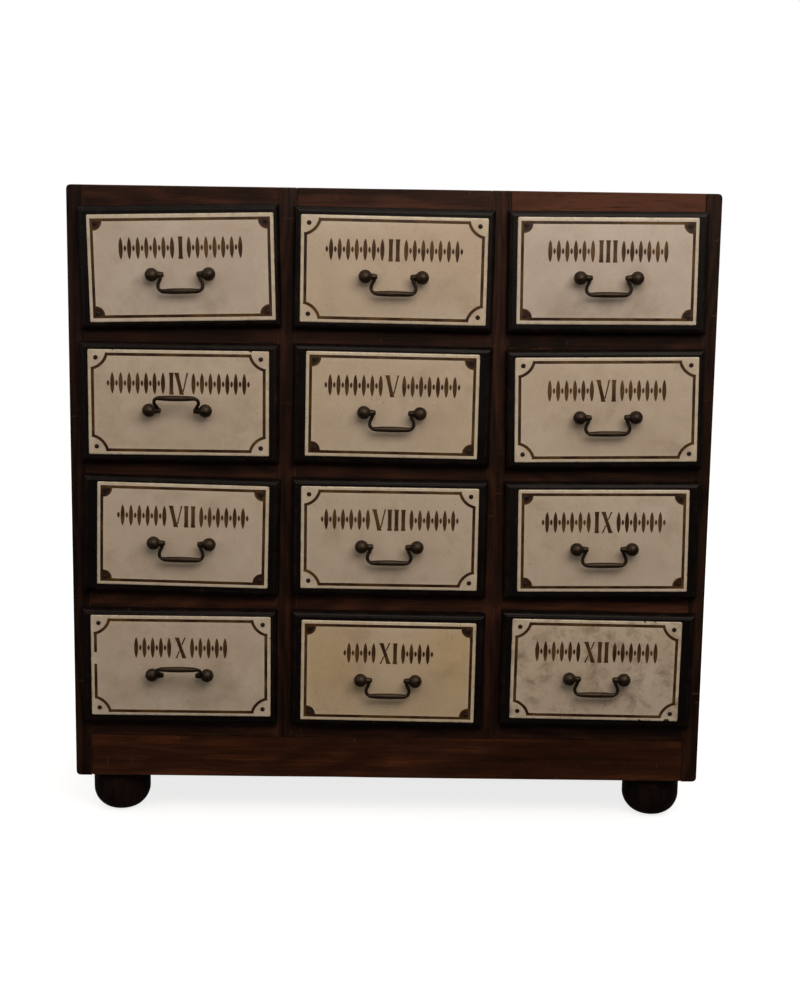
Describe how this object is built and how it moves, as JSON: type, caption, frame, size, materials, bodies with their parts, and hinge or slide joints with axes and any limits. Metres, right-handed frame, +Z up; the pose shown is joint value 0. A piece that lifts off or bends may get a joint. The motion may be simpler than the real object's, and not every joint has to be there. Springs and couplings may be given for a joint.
{
  "type": "apothecary cabinet",
  "caption": "Low wooden apothecary cabinet on bun feet, with rows of sliding drawers, each with a moulded front, an enamelled label plate and a drop bail handle.",
  "frame": {"origin": "on the floor, in the middle of the bounding box of the whole cabinet, handles included", "axes": "+X to the right as seen by someone facing the drawers, +Y towards the back, +Z up; the drawers open towards -Y"},
  "size_m": [0.802, 0.4116, 0.8075],
  "materials": {
    "case_wood": "dark stained and waxed, worn",
    "plinth_wood": "stained and waxed, worn",
    "inner_wood": "bare, aged",
    "drawer_wood": "bare box with an ebonised front",
    "foot_wood": "ebonised, worn",
    "enamel": "glossy vitreous enamel, cream",
    "handle_metal": "dark brown patina, rubbed",
    "nail_metal": "rusty"
  },
  "bodies": {
    "case": {"side_left": "case_wood", "side_right": "case_wood", "partitions": "case_wood", "top_board": "case_wood", "bottom_board": "inner_wood", "front_rails": "case_wood", "back_planks": "inner_wood", "back_nails": "nail_metal", "drawer_runners": "inner_wood", "plinth_board": "plinth_wood", "corner_blocks": "inner_wood", "bun_feet": "foot_wood"},
    "drawer_11": {"drawer_11_box": "drawer_wood", "drawer_11_plate": "enamel", "drawer_11_posts": "handle_metal"},
    "bail_11": {"drawer_11_bail": "handle_metal"},
    "drawer_12": {"drawer_12_box": "drawer_wood", "drawer_12_plate": "enamel", "drawer_12_posts": "handle_metal"},
    "bail_12": {"drawer_12_bail": "handle_metal"},
    "drawer_13": {"drawer_13_box": "drawer_wood", "drawer_13_plate": "enamel", "drawer_13_posts": "handle_metal"},
    "bail_13": {"drawer_13_bail": "handle_metal"},
    "drawer_21": {"drawer_21_box": "drawer_wood", "drawer_21_plate": "enamel", "drawer_21_posts": "handle_metal"},
    "bail_21": {"drawer_21_bail": "handle_metal"},
    "drawer_22": {"drawer_22_box": "drawer_wood", "drawer_22_plate": "enamel", "drawer_22_posts": "handle_metal"},
    "bail_22": {"drawer_22_bail": "handle_metal"},
    "drawer_23": {"drawer_23_box": "drawer_wood", "drawer_23_plate": "enamel", "drawer_23_posts": "handle_metal"},
    "bail_23": {"drawer_23_bail": "handle_metal"},
    "drawer_31": {"drawer_31_box": "drawer_wood", "drawer_31_plate": "enamel", "drawer_31_posts": "handle_metal"},
    "bail_31": {"drawer_31_bail": "handle_metal"},
    "drawer_32": {"drawer_32_box": "drawer_wood", "drawer_32_plate": "enamel", "drawer_32_posts": "handle_metal"},
    "bail_32": {"drawer_32_bail": "handle_metal"},
    "drawer_33": {"drawer_33_box": "drawer_wood", "drawer_33_plate": "enamel", "drawer_33_posts": "handle_metal"},
    "bail_33": {"drawer_33_bail": "handle_metal"},
    "drawer_41": {"drawer_41_box": "drawer_wood", "drawer_41_plate": "enamel", "drawer_41_posts": "handle_metal"},
    "bail_41": {"drawer_41_bail": "handle_metal"},
    "drawer_42": {"drawer_42_box": "drawer_wood", "drawer_42_plate": "enamel", "drawer_42_posts": "handle_metal"},
    "bail_42": {"drawer_42_bail": "handle_metal"},
    "drawer_43": {"drawer_43_box": "drawer_wood", "drawer_43_plate": "enamel", "drawer_43_posts": "handle_metal"},
    "bail_43": {"drawer_43_bail": "handle_metal"}
  },
  "joints": [
    {"name": "drawer_11_slide", "type": "slide", "parent": "case", "child": "drawer_11", "axis": [0, -1, 0], "range_m": [0, 0.27]},
    {"name": "bail_11_hinge", "type": "hinge", "parent": "drawer_11", "child": "bail_11", "pos_m": [-0.25877, -0.18601, 0.70108], "axis": [-0.9997, 0, -0.0262], "range_deg": [-20, 200]},
    {"name": "drawer_12_slide", "type": "slide", "parent": "case", "child": "drawer_12", "axis": [0, -1, 0], "range_m": [0, 0.27]},
    {"name": "bail_12_hinge", "type": "hinge", "parent": "drawer_12", "child": "bail_12", "pos_m": [-0.00007, -0.18601, 0.7015], "axis": [-1, 0, 0.0087], "range_deg": [-20, 200]},
    {"name": "drawer_13_slide", "type": "slide", "parent": "case", "child": "drawer_13", "axis": [0, -1, 0], "range_m": [0, 0.27]},
    {"name": "bail_13_hinge", "type": "hinge", "parent": "drawer_13", "child": "bail_13", "pos_m": [0.26105, -0.18601, 0.70399], "axis": [-1, 0, -0.0087], "range_deg": [-20, 200]},
    {"name": "drawer_21_slide", "type": "slide", "parent": "case", "child": "drawer_21", "axis": [0, -1, 0], "range_m": [0, 0.27]},
    {"name": "bail_21_hinge", "type": "hinge", "parent": "drawer_21", "child": "bail_21", "pos_m": [-0.2635, -0.18601, 0.5355], "axis": [-1, 0, 0], "range_deg": [-164, 56]},
    {"name": "drawer_22_slide", "type": "slide", "parent": "case", "child": "drawer_22", "axis": [0, -1, 0], "range_m": [0, 0.27]},
    {"name": "bail_22_hinge", "type": "hinge", "parent": "drawer_22", "child": "bail_22", "pos_m": [-0.00006, -0.18601, 0.536], "axis": [-1, 0, 0.0087], "range_deg": [-20, 200]},
    {"name": "drawer_23_slide", "type": "slide", "parent": "case", "child": "drawer_23", "axis": [0, -1, 0], "range_m": [0, 0.27]},
    {"name": "bail_23_hinge", "type": "hinge", "parent": "drawer_23", "child": "bail_23", "pos_m": [0.26566, -0.18601, 0.53406], "axis": [-0.9998, 0, -0.0175], "range_deg": [-20, 200]},
    {"name": "drawer_31_slide", "type": "slide", "parent": "case", "child": "drawer_31", "axis": [0, -1, 0], "range_m": [0, 0.27]},
    {"name": "bail_31_hinge", "type": "hinge", "parent": "drawer_31", "child": "bail_31", "pos_m": [-0.25961, -0.18601, 0.36946], "axis": [-0.9998, 0, 0.0175], "range_deg": [-20, 200]},
    {"name": "drawer_32_slide", "type": "slide", "parent": "case", "child": "drawer_32", "axis": [0, -1, 0], "range_m": [0, 0.27]},
    {"name": "bail_32_hinge", "type": "hinge", "parent": "drawer_32", "child": "bail_32", "pos_m": [-0.00103, -0.18601, 0.3685], "axis": [-1, 0, 0.0035], "range_deg": [-20, 200]},
    {"name": "drawer_33_slide", "type": "slide", "parent": "case", "child": "drawer_33", "axis": [0, -1, 0], "range_m": [0, 0.27]},
    {"name": "bail_33_hinge", "type": "hinge", "parent": "drawer_33", "child": "bail_33", "pos_m": [0.26709, -0.18601, 0.36906], "axis": [-0.9999, 0, -0.0122], "range_deg": [-20, 200]},
    {"name": "drawer_41_slide", "type": "slide", "parent": "case", "child": "drawer_41", "axis": [0, -1, 0], "range_m": [0, 0.27]},
    {"name": "bail_41_hinge", "type": "hinge", "parent": "drawer_41", "child": "bail_41", "pos_m": [-0.263, -0.18601, 0.201], "axis": [-1, 0, 0], "range_deg": [-146, 74]},
    {"name": "drawer_42_slide", "type": "slide", "parent": "case", "child": "drawer_42", "axis": [0, -1, 0], "range_m": [0, 0.27]},
    {"name": "bail_42_hinge", "type": "hinge", "parent": "drawer_42", "child": "bail_42", "pos_m": [-0.0006, -0.18601, 0.19701], "axis": [-1, 0, 0.0087], "range_deg": [-20, 200]},
    {"name": "drawer_43_slide", "type": "slide", "parent": "case", "child": "drawer_43", "axis": [0, -1, 0], "range_m": [0, 0.27]},
    {"name": "bail_43_hinge", "type": "hinge", "parent": "drawer_43", "child": "bail_43", "pos_m": [0.26294, -0.18601, 0.20199], "axis": [-1, 0, 0.0087], "range_deg": [-20, 200]}
  ]
}
